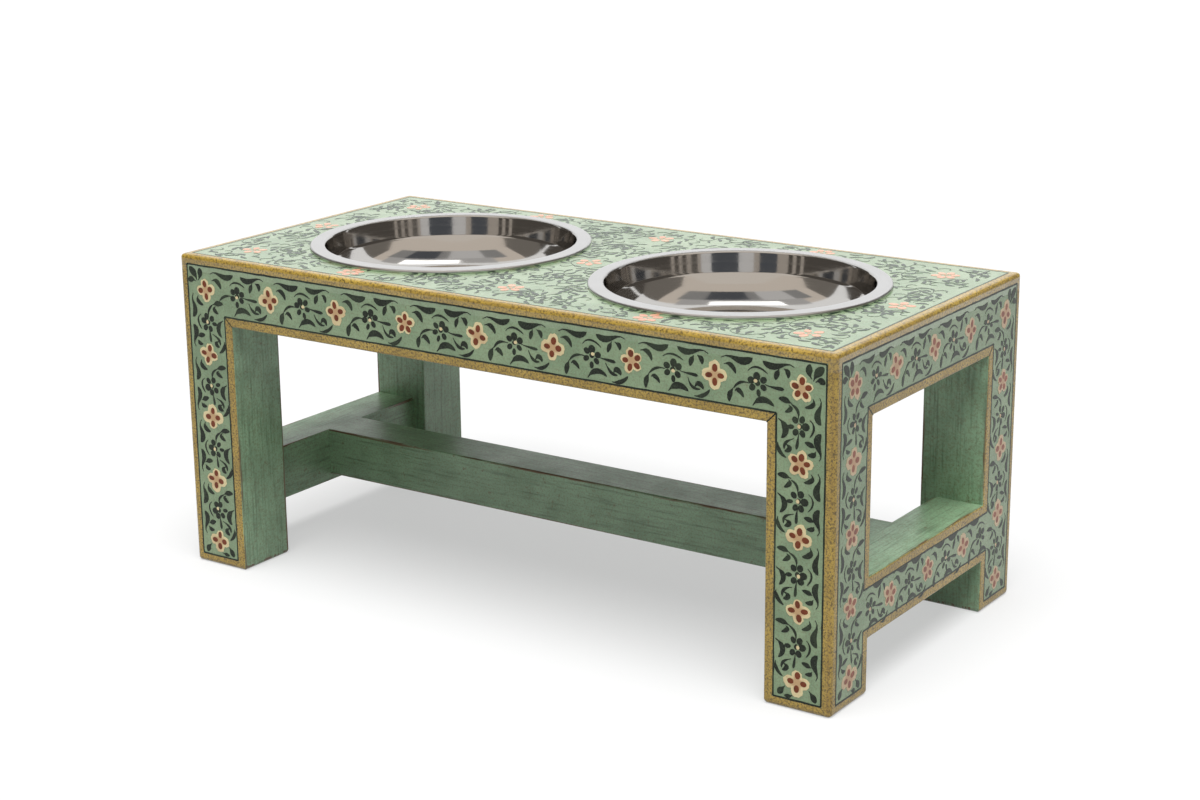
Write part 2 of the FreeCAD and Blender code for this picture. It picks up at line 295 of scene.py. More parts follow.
class Finish(Nodes):
    """The nodes of one material."""

    def __init__(self, name):
        self.material = bpy.data.materials.new(name)
        self.material.use_nodes = True
        super().__init__(self.material.node_tree)
        self.shader = self.tree.nodes["Principled BSDF"]

    def surface(self, **inputs):
        """Feeds the shader's own sockets, named with _ for a space."""
        for name, value in inputs.items():
            self.feed(self.shader.inputs[name.replace("_", " ")], value)

    def place(self, stretch=(1, 1, 1)):
        """Places on the piece, squeezed along each axis as given."""
        found = self.add("TexCoord").outputs["Object"]
        return self.add("Mapping", {"Vector": found, "Scale": stretch}).outputs["Vector"]

    def attribute(self, name):
        """A value that the mesh carries."""
        return self.add("Attribute", attribute_name=name).outputs["Fac"]

    def noise(self, place, pattern):
        """A cloudy value between 0 and 1."""
        return self.add("TexNoise", {"Vector": place, "Scale": pattern.scale, "Detail": pattern.detail,
                                     "Roughness": pattern.rough}).outputs["Fac"]

    def shows(self, value, pattern, low, high):
        """A pattern's value eased from low to high where the pattern comes to show."""
        return self.ramp(value, pattern.start, pattern.end, low, high)

    def spread(self, value, low, high):
        """A cloudy value spread from low to high."""
        return self.ramp(value, *NOISE_RANGE, low, high)

    def mixed(self, share, first, second):
        """One colour with a share of another over it."""
        return self.add("Mix", {0: share, 6: first, 7: second}, data_type="RGBA").outputs[2]

    def layer(self, ground, over, value, pattern, most):
        """A colour with another over it where a pattern shows."""
        return self.mixed(self.shows(value, pattern, 0, most), ground, over)

    def bump(self, height, strength, distance):
        """A surface direction raised by the height."""
        return self.add("Bump", {"Height": height, "Strength": strength,
                                 "Distance": distance}).outputs["Normal"]


def kept(name, make, *given):
    """The named material, made once."""
    return bpy.data.materials.get(name) or make(name, *given)


GRAIN_SQUEEZE = 0.05


def grain_stretch(axis):
    """Mapping that draws a pattern out along one axis."""
    return tuple(GRAIN_SQUEEZE if number == axis else 1 for number in range(3))


# How a paint has aged: strength of its clouds, brushed grain, fine flecks, chips and edge wear, the colour
# of its flecks, and its roughness. The paints stand in the order that timber faces use.
Age = namedtuple("Age", "clouds grain flecks chips rub fleck rough")
AGES = {
    "mint": Age(0.8, 0.4, 0.3, 0.25, 0.4, "worn", 0.24),
    "gold": Age(0.6, 0.4, 0.9, 0.1, 0.25, "gold_fleck", 0.3),
    "plain": Age(0.4, 0.9, 0.4, 0.5, 0.95, "worn", 0.38),
}
MINT, GOLD, PLAIN = range(3)

TOP_VARNISH = 0.8
VARNISH_ROUGHNESS = 0.34
PAINT_SHINE = 0.65
RUB_UNEVEN = (-0.75, 0.35)
RUBBED_THROUGH = (0.55, 0.95)
BARED_HEIGHT = -0.5
GLOSSIEST = -0.04
DULLEST = 0.05
# Strength and height of the marks of a brush and of grain
BRUSH_MARKS = (0.15, 0.2 * MM)
DRY_MARKS = (0.12, 0.1 * MM)
GRAIN_MARKS = (0.2, 0.2 * MM)


def aged_paint(name, tone, axis, varnish):
    """Old hand-laid paint: clouded, brushed along the grain, flecked, chipped and rubbed on the edges."""
    age = AGES[tone]
    tint, shade, fleck = (getattr(colours(), part) for part in (tone, tone + "_shade", age.fleck))
    finish = Finish(name)
    place = finish.place()
    along = finish.place(grain_stretch(axis))
    clouds = finish.noise(place, CLOUDS)
    streaks = finish.noise(along, STREAKS)
    coat = finish.layer(tint, shade, clouds, CLOUDS, age.clouds)
    coat = finish.layer(coat, shade, streaks, STREAKS, age.grain)
    coat = finish.layer(coat, fleck, finish.noise(place, FLECKS), FLECKS, age.flecks)
    uneven = finish.shows(finish.noise(along, RUBS), RUBS, *RUB_UNEVEN)
    rubbed = finish.math("ADD", finish.attribute("wear"), uneven)
    rubbed = finish.ramp(rubbed, *RUBBED_THROUGH, 0, age.rub)
    chipped = finish.shows(finish.noise(place, CHIPS), CHIPS, 0, age.chips)
    bared = finish.math("MAXIMUM", rubbed, chipped)
    coat = finish.mixed(bared, coat, colours().worn)
    height = finish.math("ADD", streaks, finish.math("MULTIPLY", bared, BARED_HEIGHT))
    finish.surface(Base_Color=coat, Specular_IOR_Level=PAINT_SHINE, Normal=finish.bump(height, *BRUSH_MARKS),
                   Roughness=finish.spread(clouds, age.rough + GLOSSIEST, age.rough + DULLEST),
                   Coat_Weight=varnish, Coat_Roughness=VARNISH_ROUGHNESS)
    return finish.material


def timber_paints(axis, varnish=0.0):
    """Mint, gold and plain paint with brush marks along one axis."""
    ending = "_varnished" if varnish else "_paint_along_" + "xyz"[axis]
    return [kept(tone + ending, aged_paint, tone, axis, varnish) for tone in AGES]


# A brush colour: its names among the colours, laid thick and thin, how little of it is thin, the scale of
# its dry streaks, its shine and its varnish.
Motif = namedtuple("Motif", "thick thin cover scale shine varnish")
MOTIFS = {
    "dark_leaf_paint": Motif("dark", "dark_thin", 0.5, 700, 0.25, 0.0),
    "cream_petal_paint": Motif("cream", "cream_shade", 0.56, 420, 0.5, 0.0),
    "rust_spot_paint": Motif("rust", "rust_shade", 0.5, 260, 0.25, 0.0),
    # The three end paints below carry a painted sheen in their paler colours.
    "sheened_leaf_paint": Motif("sheened", "sheened_thin", 0.5, 600, 0.3, 0.0),
    "sheened_petal_paint": Motif("blush", "blush_shade", 0.5, 420, 0.5, 0.0),
    "sheened_spot_paint": Motif("brick", "brick_shade", 0.5, 260, 0.4, 0.0),
    "sage_leaf_paint": Motif("sage", "sage_thin", 0.5, 500, 0.4, TOP_VARNISH / 2),
    "salmon_petal_paint": Motif("salmon", "salmon_thin", 0.46, 420, 0.5, TOP_VARNISH),
}
DRY_EASE = 0.2
DRY_SHARE = 0.7
CLOUD_SHARE = 0.35
HEART_EDGE = (0.2, 0.65)
HEART_SHARE = 0.8
MOTIF_ROUGHNESS = (0.26, 0.36)


def brushed_motif(name):
    """Paint of one brush colour, thinner where the brush ran dry and in the heart of a flower."""
    motif = MOTIFS[name]
    thick, thin = (getattr(colours(), tone) for tone in (motif.thick, motif.thin))
    dry_brush = Pattern(motif.scale, 4, 0.7, motif.cover, motif.cover + DRY_EASE)
    finish = Finish(name)
    place = finish.place()
    dry = finish.noise(place, dry_brush)
    coat = finish.layer(thick, thin, dry, dry_brush, DRY_SHARE)
    coat = finish.layer(coat, thin, finish.noise(place, THIN_CLOUDS), THIN_CLOUDS, CLOUD_SHARE)
    coat = finish.mixed(finish.ramp(finish.attribute("heart"), *HEART_EDGE, 0, HEART_SHARE), coat, thin)
    finish.surface(Base_Color=coat, Roughness=finish.spread(dry, *MOTIF_ROUGHNESS),
                   Specular_IOR_Level=motif.shine, Normal=finish.bump(dry, *DRY_MARKS),
                   Coat_Weight=motif.varnish, Coat_Roughness=VARNISH_ROUGHNESS)
    return finish.material


PORE_SHARE = 0.4
WOOD_ROUGHNESS = (0.55, 0.7)


def bare_wood(name, axis):
    """Unpainted softwood with its grain along one axis."""
    tones = colours()
    finish = Finish(name)
    along = finish.place(grain_stretch(axis))
    grain = finish.noise(along, WOOD_GRAIN)
    wood = finish.layer(tones.bare, tones.bare_shade, grain, WOOD_GRAIN, 1)
    wood = finish.layer(wood, tones.worn, finish.noise(along, WOOD_PORES), WOOD_PORES, PORE_SHARE)
    finish.surface(Base_Color=wood, Roughness=finish.spread(grain, *WOOD_ROUGHNESS),
                   Normal=finish.bump(grain, *GRAIN_MARKS))
    return finish.material


def bowl_radius(finish):
    """Distance of a place from the axis of the bowl that it is on."""
    parts = finish.add("SeparateXYZ", {"Vector": finish.place()}).outputs
    across = finish.math("SUBTRACT", finish.math("ABSOLUTE", parts["X"]), BOWL_X)
    squares = [finish.math("POWER", part, 2.0) for part in (across, parts["Y"])]
    return finish.math("POWER", finish.math("ADD", *squares), 0.5)


# Roughness of a steel, and the scale and strength of its turning rings
POLISHED = (0.05, 2600, 0.05)
SATIN = (0.28, 1900, 0.1)
RING_HEIGHT = 0.02 * MM
RING_ROUGHNESS = 0.05
SMEAR_ROUGHNESS = 0.04


def steel(name, tint, rough, ring_scale, ring_depth):
    """Spun stainless steel with fine turning rings."""
    finish = Finish(name)
    rings = finish.add("TexNoise", {"W": bowl_radius(finish), "Scale": ring_scale, "Detail": 3.0},
                       noise_dimensions="1D").outputs["Fac"]
    smears = finish.shows(finish.noise(finish.place(), SMEARS), SMEARS, 0, SMEAR_ROUGHNESS)
    worn = finish.math("ADD", smears, finish.spread(rings, 0, RING_ROUGHNESS))
    finish.surface(Base_Color=tint, Metallic=1.0, Roughness=finish.math("ADD", worn, rough),
                   Normal=finish.bump(rings, ring_depth, RING_HEIGHT))
    return finish.material


ZINC_DULL = 0.6
ZINC_ROUGHNESS = (0.3, 0.5)


def zinc(name):
    """Dull zinc plate with darker patches."""
    finish = Finish(name)
    tint = bpy.context.scene.stand_steel.zinc
    dull = [ZINC_DULL * part for part in tint]
    patches = finish.noise(finish.place(), ZINC_PATCHES)
    finish.surface(Base_Color=finish.layer(tint, dull, patches, ZINC_PATCHES, 1), Metallic=1.0,
                   Roughness=finish.spread(patches, *ZINC_ROUGHNESS))
    return finish.material


# Pieces

def added(name, data):
    """A new object of the scene."""
    made = bpy.data.objects.new(name, data)
    bpy.context.scene.collection.objects.link(made)
    return made


def meshed(bm, name, materials):
    """Turns a finished bmesh into an object."""
    mesh = bpy.data.meshes.new(name)
    bm.to_mesh(mesh)
    bm.free()
    for material in materials:
        mesh.materials.append(material)
    return added(name, mesh)


def piece(bm, name, materials, body, replaced=()):
    """Turns a finished bmesh into a piece that rides on its body."""
    made = meshed(bm, name, materials)
    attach(made, body)
    if replaced:
        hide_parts(*replaced)
    return made


# Decorated sides

Side = namedtuple("Side", "right up reach half low high openings")

RIGHTWARD = Vector((1, 0, 0))
BACKWARD = Vector((0, 1, 0))
UPWARD = Vector((0, 0, 1))
LONG_OPENINGS = [(OPENING_X, 0, APRON_LOW)]
SHORT_OPENINGS = [(OPENING_Y, STRETCHER_HIGH, APRON_LOW), (OPENING_Y, 0, STRETCHER_LOW)]
SIDES = {
    "front": Side(RIGHTWARD, UPWARD, HALF_DEPTH, HALF_LENGTH, 0, STAND_TOP, LONG_OPENINGS),
    "back": Side(-RIGHTWARD, UPWARD, HALF_DEPTH, HALF_LENGTH, 0, STAND_TOP, LONG_OPENINGS),
    "right": Side(BACKWARD, UPWARD, HALF_LENGTH, HALF_DEPTH, 0, STAND_TOP, SHORT_OPENINGS),
    "left": Side(-BACKWARD, UPWARD, HALF_LENGTH, HALF_DEPTH, 0, STAND_TOP, SHORT_OPENINGS),
    "top": Side(RIGHTWARD, BACKWARD, STAND_TOP, HALF_LENGTH, -HALF_DEPTH, HALF_DEPTH, []),
}
FACING_SHARE = 0.6


def outward(side):
    """The direction that a decorated side faces."""
    return side.right.cross(side.up)


def edge_distance(side, across, up):
    """How far a place on a side is from the nearest edge of the timber, square to that edge."""
    found = min(side.half - abs(across), up - side.low, side.high - up)
    for half, low, high in side.openings:
        found = min(found, max(abs(across) - half, low - up, up - high))
    return found


def side_of(point, normal):
    """The decorated side that a timber face belongs to, or None."""
    for side in SIDES.values():
        facing = outward(side)
        depth = side.reach - point.dot(facing)
        if normal.dot(facing) > FACING_SHARE and depth < timber_sizes().outer_arris:
            return side
    return None


def paint_of(face):
    """Which paint a timber face gets."""
    middle = face.calc_center_median()
    side = side_of(middle, face.normal)
    if side is None:
        return PLAIN
    distance = edge_distance(side, middle.dot(side.right), middle.dot(side.up))
    return GOLD if distance < paint_sizes().gold_width else MINT


# Timber

NEAREST_CUT = 0.5 * MM
NUDGE = 0.4 * MM
FOOT_LEVEL = 0.1 * MM
FLAT_SHARE = 0.5
SHARP_ANGLE = radians(35)


def timber_box(node):
    """A timber's box, with its decorated faces drawn in by the thickness of the paint."""
    coat = paint_sizes().coat
    low, high = (corner.copy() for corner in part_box(node))
    for axis, reach in enumerate(BOARD_HIGH):
        high[axis] = min(high[axis], reach - coat)
        low[axis] = max(low[axis], coat - reach)
    return low, high


def cut_places(axis, low, high):
    """Where a timber is cut across an axis, so that each face has one paint."""
    gold = paint_sizes().gold_width
    reach = timber_sizes().wear_reach
    borders = (
        [OPENING_X, OPENING_X + gold, HALF_LENGTH - gold],
        [OPENING_Y, OPENING_Y + gold, HALF_DEPTH - gold],
        [gold, STRETCHER_LOW, STRETCHER_LOW + gold, STRETCHER_HIGH - gold, STRETCHER_HIGH,
         APRON_LOW, APRON_LOW + gold, STAND_TOP - gold],
    )[axis]
    mirrored = [-place for place in borders] if axis != ALONG_Z else []
    places = {*borders, *mirrored, low + reach, high - reach}
    return sorted(place for place in places if low + NEAREST_CUT < place < high - NEAREST_CUT)


def cut_across(bm, low, high):
    """Cuts a timber at the borders of its paints and beside its edges."""
    for axis, facing in enumerate((RIGHTWARD, BACKWARD, UPWARD)):
        for place in cut_places(axis, low[axis], high[axis]):
            everything = bm.verts[:] + bm.edges[:] + bm.faces[:]
            bmesh.ops.bisect_plane(bm, geom=everything, plane_co=facing * place, plane_no=facing)


def within(point, box):
    """True if a point lies inside a box."""
    low, high = box
    return all(low[axis] < point[axis] < high[axis] for axis in range(3))


def edge_middle(edge):
    """Middle of an edge."""
    return (edge.verts[0].co + edge.verts[1].co) / 2


def free_arrises(bm, boxes):
    """The sharp edges of a timber that no other timber covers, with the facings of their two sides."""
    for edge in bm.edges:
        if len(edge.link_faces) != 2:
            continue
        one, two = (face.normal for face in edge.link_faces)
        if one.dot(two) > FLAT_SHARE:
            continue
        middle = edge_middle(edge)
        beyond = [middle + (one - two) * NUDGE, middle + (two - one) * NUDGE]
        if not any(within(point, box) for point in beyond for box in boxes):
            yield edge, one, two


def is_outer(edge, one, two):
    """True for the corners between two decorated sides, and for the feet."""
    middle = edge_middle(edge)
    sides = [side_of(middle, one), side_of(middle, two)]
    return None not in sides or middle.z < FOOT_LEVEL


def round_edges(bm, edges, radius, wear):
    """Rounds edges and marks what is rounded as open to wear."""
    if edges:
        made = bmesh.ops.bevel(bm, geom=edges, offset=radius, offset_type="OFFSET", affect="EDGES",
                               segments=timber_sizes().arris_steps, profile=0.5, material=-1,
                               clamp_overlap=True)
        for vert in made["verts"]:
            vert[wear] = 1.0
        for face in made["faces"]:
            face.smooth = True
    bm.normal_update()


def dress_timber(bm, node, low, high):
    """Cuts, rounds and paints the faces of a timber."""
    sizes = timber_sizes()
    cut_across(bm, low, high)
    bmesh.ops.recalc_face_normals(bm, faces=bm.faces)
    wear = bm.verts.layers.float.new("wear")
    others = [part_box(name) for name in TIMBERS if name != node]
    outer = [edge for edge, one, two in free_arrises(bm, others) if is_outer(edge, one, two)]
    round_edges(bm, outer, sizes.outer_arris, wear)
    inner = [edge for edge, one, two in free_arrises(bm, others)]
    round_edges(bm, inner, sizes.inner_arris, wear)
    for edge in bm.edges:
        edge.smooth = edge.calc_face_angle(0) < SHARP_ANGLE
    for face in bm.faces:
        face.material_index = paint_of(face)


def make_timber(node, axis):
    """A straight timber, painted, in place of its node."""
    low, high = timber_box(node)
    bm = bmesh.new()
    bmesh.ops.create_cube(bm, size=1, matrix=Matrix.Translation((low + high) / 2) @ Matrix.Diagonal(
        (*(high - low), 1)))
    dress_timber(bm, node, low, high)
    piece(bm, node + "_painted", timber_paints(axis), "stand", [node])


HOLE_STEPS = 24
BOARD_MERGE = 0.01 * MM


def holed_half(bm, high, sign):
    """One half of the board's upper face, as a ring of faces round the bowl's hole."""
    middle = Matrix.Translation((sign * high.x / 2, 0, high.z))
    spread = Matrix.Diagonal((high.x / 2, high.y, 1, 1))
    sheet = bmesh.ops.create_grid(bm, x_segments=HOLE_STEPS, y_segments=HOLE_STEPS, size=1,
                                  matrix=middle @ spread)
    inside = [vert for vert in sheet["verts"] if not vert.is_boundary]
    border = [edge for edge in bm.edges if edge.is_boundary and edge.verts[0] in sheet["verts"]]
    bmesh.ops.delete(bm, geom=inside, context="VERTS")
    ring = bmesh.ops.create_circle(bm, segments=4 * HOLE_STEPS, radius=BOARD_HOLE_RADIUS,
                                   matrix=Matrix.Translation((sign * BOWL_X, 0, high.z)))
    rim = list({edge for vert in ring["verts"] for edge in vert.link_edges})
    bmesh.ops.bridge_loops(bm, edges=border + rim)


def extruded(bm, distance):
    """Gives flat faces a thickness: their copy moves up by a distance, with walls between."""
    moved = bmesh.ops.extrude_face_region(bm, geom=bm.faces[:], use_keep_orig=True)
    verts = [item for item in moved["geom"] if isinstance(item, bmesh.types.BMVert)]
    bmesh.ops.translate(bm, verts=verts, vec=(0, 0, distance))


def make_board():
    """The top board with its two holes."""
    low, high = timber_box("top_board")
    bm = bmesh.new()
    for sign in BOTH:
        holed_half(bm, high, sign)
    bmesh.ops.remove_doubles(bm, verts=bm.verts, dist=BOARD_MERGE)
    extruded(bm, low.z - high.z)
    dress_timber(bm, "top_board", low, high)
    piece(bm, "top_board_painted", timber_paints(ALONG_X, TOP_VARNISH), "stand",
          ["top_board"])


# Brush work on the decorated sides

# How deep paint is set into its ground, and how far strokes differ in level, so that no two share a plane
SUNK = 0.03 * MM
UNEVEN = 0.04 * MM
# Shape of a leaf stroke: crowding of its steps at the tip, slenderness of its neck, roundness and tip width
CROWDED = 1.4
SLENDER = 2.6
ROUND = 0.6
TIP = 0.4
GLANCE = 0.01
# Steps of a ruled line, and the ranges in which it wavers, in millimetres, and varies in breadth
LINE_STEP = 7 * MM
LINE_WAVER = (-0.14, 0.14)
LINE_BREADTH = (0.8, 1.15)
DAB_SIDES = 10

# How far each kind of brush work stands up, as a share of the thickest paint
LINE_HEIGHT = 0.5
LEAF_HEIGHT = 0.65
PETAL_HEIGHT = 0.92
TOP_PETAL_HEIGHT = 0.95
SPOT_HEIGHT = 0.96


def bezier(points, share):
    """Place on a Bezier line with four control points."""
    a, b, c, d = (Vector(point) for point in points)
    rest = 1 - share
    return a * rest ** 3 + b * 3 * rest ** 2 * share + c * 3 * rest * share ** 2 + d * share ** 3


def leaf_width(share, thin, full, swell):
    """Width of a leaf stroke: slender up to the swell, then closed by a rounded tip."""
    if share < swell:
        return thin + (full - thin) * sin(pi / 2 * share / swell) ** SLENDER
    past = (share - swell) / (1 - swell)
    return thin * TIP + (full - thin * TIP) * (1 - past ** 2) ** ROUND


def stroke(bm, points, full, swell, rng, thin=0.5 * MM, steps=9):
    """One leaf-shaped brush stroke, flat, along a Bezier line, and not quite level with the next."""
    level = rng.uniform(0, UNEVEN)
    sheet = bmesh.ops.create_grid(bm, x_segments=steps, y_segments=1, size=1)
    for vert in sheet["verts"]:
        share = 1 - ((1 - vert.co.x) / 2) ** CROWDED
        place = bezier(points, share)
        ahead = bezier(points, min(share + GLANCE, 1)) - bezier(points, max(share - GLANCE, 0))
        square = Vector((-ahead.y, ahead.x)).normalized()
        place = place + square * (vert.co.y * leaf_width(share, thin, full, swell) / 2)
        vert.co = (place.x, place.y, level)


def ruled_line(bm, start, end, width, rng):
    """A straight line drawn by hand: it wavers a little and is not quite even."""
    run = Vector(end) - Vector(start)
    steps = max(2, round(run.length / LINE_STEP))
    square = Vector((-run.y, run.x)).normalized()
    waver = [rng.uniform(*LINE_WAVER) * MM for _ in range(steps + 1)]
    waver[0] = waver[-1] = 0
    breadth = [width * rng.uniform(*LINE_BREADTH) for _ in range(steps + 1)]
    sheet = bmesh.ops.create_grid(bm, x_segments=steps, y_segments=1, size=1)
    for vert in sheet["verts"]:
        share = (vert.co.x + 1) / 2
        number = round(share * steps)
        place = Vector(start) + run * share + square * (waver[number] + vert.co.y * breadth[number] / 2)
        vert.co = (place.x, place.y, 0)


def dab(bm, middle, long, wide, angle, level=0.0):
    """An oval touch of the brush."""
    turn = Matrix.Rotation(angle, 4, "Z")
    size = Matrix.Diagonal((long / 2, wide / 2, 1, 1))
    bmesh.ops.create_circle(bm, segments=DAB_SIDES, radius=1, cap_ends=True,
                            matrix=Matrix.Translation((*middle, level)) @ turn @ size)


def raise_paint(bm, side, name, paint, share):
    """Gives flat brush work its thickness and lays it on its side of the stand."""
    coat = paint_sizes().coat
    extruded(bm, share * coat + SUNK)
    facing = outward(side)
    ground = facing * (side.reach - coat - SUNK)
    turn = Matrix((side.right, side.up, facing)).transposed().to_4x4()
    bmesh.ops.transform(bm, matrix=Matrix.Translation(ground) @ turn, verts=bm.verts)
    bmesh.ops.recalc_face_normals(bm, faces=bm.faces)
    piece(bm, name, [kept(paint, brushed_motif)], "stand")


def towards(angle):
    """The direction of an angle on a side."""
    return Vector((cos(angle), sin(angle)))


def shaken(point, rng, reach=0.45 * MM):
    """A place moved by a little of the painter's unsteadiness."""
    return Vector((point.x + rng.uniform(-reach, reach), point.y + rng.uniform(-reach, reach)))


# The flowering border

Palette = namedtuple("Palette", "leaf petal spot weight")
FRESH = Palette("dark_leaf_paint", "cream_petal_paint", "rust_spot_paint", 1.0)
# The ends' palette is the front's made paler and pinker: a painted sheen of the ends seen at a glancing
# angle.
SHEENED = Palette("sheened_leaf_paint", "sheened_petal_paint", "sheened_spot_paint", 0.8)
PALETTES = {"front": FRESH, "right": SHEENED, "back": FRESH, "left": SHEENED}

# A run of equal cells along one strip of a side, with flowers at its ends or only between its cells
Run = namedtuple("Run", "start ahead beside pitch cells ends")

CELL_LENGTH = 62 * MM
SHORT_RUN_CELLS = 4
FOOT_FLOWER = 13.5 * MM
APRON_CROSSING = 4 * MM
STRETCHER_CROSSING = 2 * MM
FLOWER_MERGE = 5 * MM


def leg_middle(side):
    """Middle of the painted strip of a leg, out from the middle of the side."""
    return (side.half + side.openings[0][0]) / 2


def foot_middle():
    """Height of the lowest flower of a leg."""
    return paint_sizes().gold_width + FOOT_FLOWER


def border_runs(side):
    """The runs of flowers on a side: the apron, both legs and, on the ends, the stretcher."""
    leg = leg_middle(side)
    spaces = round(2 * leg / CELL_LENGTH)
    drop = (APRON_MIDDLE - foot_middle()) / SHORT_RUN_CELLS
    ahead = Vector((1, 0))
    down = Vector((0, -1))
    runs = [Run(Vector((-leg, APRON_MIDDLE)), ahead, -down, 2 * leg / spaces, spaces, True)]
    for sign in BOTH:
        runs.append(Run(Vector((sign * leg, APRON_MIDDLE)), down, ahead * sign, drop, SHORT_RUN_CELLS, True))
    if len(side.openings) > 1:
        runs.append(Run(Vector((-leg, STRETCHER_MIDDLE)), ahead, -down, 2 * leg / SHORT_RUN_CELLS,
                        SHORT_RUN_CELLS, False))
    return runs


def on_run(run, number, along, beside):
    """A place in one cell of a run, from its place in the drawn cell."""
    stretch = run.pitch / CELL_LENGTH
    return run.start + run.ahead * (number * run.pitch + along * stretch) + run.beside * beside


# One cell of the border from flower to flower: strokes as four points in millimetres along and beside
# the run, then the full width in millimetres and where along the stroke it is reached.
VINE_STROKES = [
    (((5, 12.7), (12, 18), (18, 7), (27.5, 14.6)), 4.7, 0.78),
    (((6.6, 8.2), (9.5, 9.8), (13.8, 9), (15, 2.6)), 3.7, 0.55),
    (((57, 13.4), (50, 18.4), (44, 7), (34.5, 14.6)), 4.7, 0.78),
    (((46.2, 10.6), (46, 9), (44.3, 7.6), (43.6, 2.8)), 3.6, 0.6),
    (((49.4, 11), (50.4, 9.6), (53.4, 10.6), (52.6, 5.4)), 3.5, 0.6),
    (((25.5, -1.8), (20, -1), (16.5, -2.2), (13.6, -6.8)), 2.0, 0.5),
    (((13.4, -6.4), (12.4, -9), (10.4, -11), (11, -16.6)), 4.3, 0.6),
    (((14.6, -8.8), (16, -6.4), (18.8, -7.4), (21, -12)), 3.4, 0.45),
    (((36, -1.2), (40, -2), (44, -2.2), (50, -2.8)), 2.3, 0.85),
    (((42, -4.6), (43.6, -8.5), (45.6, -12.6), (51.6, -11.6)), 2.2, 0.6),
    (((47.6, -11.4), (48.4, -7), (52.4, -6.4), (53.4, -11.4)), 4.0, 0.5),
    (((27.4, -16.4), (31, -10.6), (37, -9), (43, -14.2)), 4.4, 0.42),
    (((47, -16.2), (51, -17), (56, -15.6), (58.8, -10.6)), 2.9, 0.45),
    (((24, 6.5), (27, 10.5), (33, 10.5), (38.5, 6)), 1.5, 0.5),
]
CORNER_STROKES = [
    (((8, 6), (9, 10), (12, 13), (16.2, 16)), 5.8, 0.6),
    (((7.4, 7), (5, 10), (4.6, 13), (6, 16.6)), 5.0, 0.6),
    (((9.6, 5.6), (12, 7.6), (14.5, 7), (16.8, 5)), 4.6, 0.58),
]
FOOT_STROKES = [
    (((-9, -4), (-11, -6), (-13, -8), (-13.6, -11)), 4.6, 0.6),
    (((9, -4), (11, -6), (13, -8), (13.6, -11)), 4.6, 0.6),
    (((-3, -9.6), (-4.4, -10.4), (-6.6, -10.8), (-9, -10.6)), 3.0, 0.6),
]
# Dabs of a sprig: angle in degrees, then distance from its middle, length and width in millimetres.
SPRIG_DABS = [(90, 4.4, 6.0, 5.4), (26, 5.0, 5.2, 4.6), (154, 5.0, 5.2, 4.6), (214, 5.0, 5.0, 4.2),
              (326, 5.0, 5.0, 4.2), (270, 6.4, 5.0, 3.2), (0, 0.0, 4.0, 3.6)]
SPRIG_PLACE = (31 * MM, -1 * MM)
SPRIG_DOT = 2.9 * MM
DOTTED_SHARE = 0.7
DOT_WIDE = 0.85
# Ranges in which leaves and dabs vary: shares of their breadth, and angles
LEAF_BREADTH = (0.88, 1.12)
SPRIG_LEAN = (-0.3, 0.3)
DAB_LEAN = (-0.12, 0.12)
DAB_BREADTH = (0.85, 1.1)


def keeps_clear(side, run, middle):
    """True if a stroke of this run lies outside the strip of a run that crosses it."""
    if run.ahead.x == 0:
        return True
    inner = side.openings[0][0]
    if run.ends:
        return abs(middle.x) < inner + paint_sizes().gold_width or middle.y > APRON_MIDDLE - APRON_CROSSING
    return abs(middle.x) < inner + STRETCHER_CROSSING


def vine_cells(side):
    """Every cell of a side's border, as its run and number."""
    for run in border_runs(side):
        for number in range(run.cells):
            yield run, number


def border_sprigs(side):
    """Middles of the sprigs of a side's border, and how each is turned."""
    for run, number in vine_cells(side):
        middle = on_run(run, number, *SPRIG_PLACE)
        if keeps_clear(side, run, middle):
            yield middle, run.beside.angle_signed(Vector((0, 1)))


def paint_vine(bm, side, weight, rng):
    """The leaves and sprigs of a side's border, with strokes of the given weight."""
    for run, number in vine_cells(side):
        for points, full, swell in VINE_STROKES:
            path = [shaken(on_run(run, number, x * MM, y * MM), rng) for x, y in points]
            if keeps_clear(side, run, (path[0] + path[3]) / 2):
                stroke(bm, path, full * weight * MM * rng.uniform(*LEAF_BREADTH), swell, rng)
    for middle, lean in border_sprigs(side):
        lean += rng.uniform(*SPRIG_LEAN)
        for angle, radius, long, wide in SPRIG_DABS:
            turn = radians(angle) + lean + rng.uniform(*DAB_LEAN)
            place = middle + towards(turn) * radius * MM
            dab(bm, place, long * MM, wide * weight * MM * rng.uniform(*DAB_BREADTH), turn,
                rng.uniform(0, UNEVEN))


def paint_ends(bm, side, rng):
    """The three-leaf sprigs in the upper corners and the leaves over the feet."""
    leg = leg_middle(side)
    for sign in BOTH:
        for strokes, middle in ((CORNER_STROKES, APRON_MIDDLE), (FOOT_STROKES, foot_middle())):
            for points, full, swell in strokes:
                path = [shaken(Vector((sign * (leg + x * MM), middle + y * MM)), rng) for x, y in points]
                stroke(bm, path, full * MM, swell, rng)


def border_flowers(side):
    """Middles of the cream flowers of a side's border."""
    found = []
    for run in border_runs(side):
        for number in range(run.cells + 1) if run.ends else range(1, run.cells):
            place = run.start + run.ahead * run.pitch * number
            if all((place - other).length > FLOWER_MERGE for other in found):
                found.append(place)
    return found


# The scattered scrolls of the top

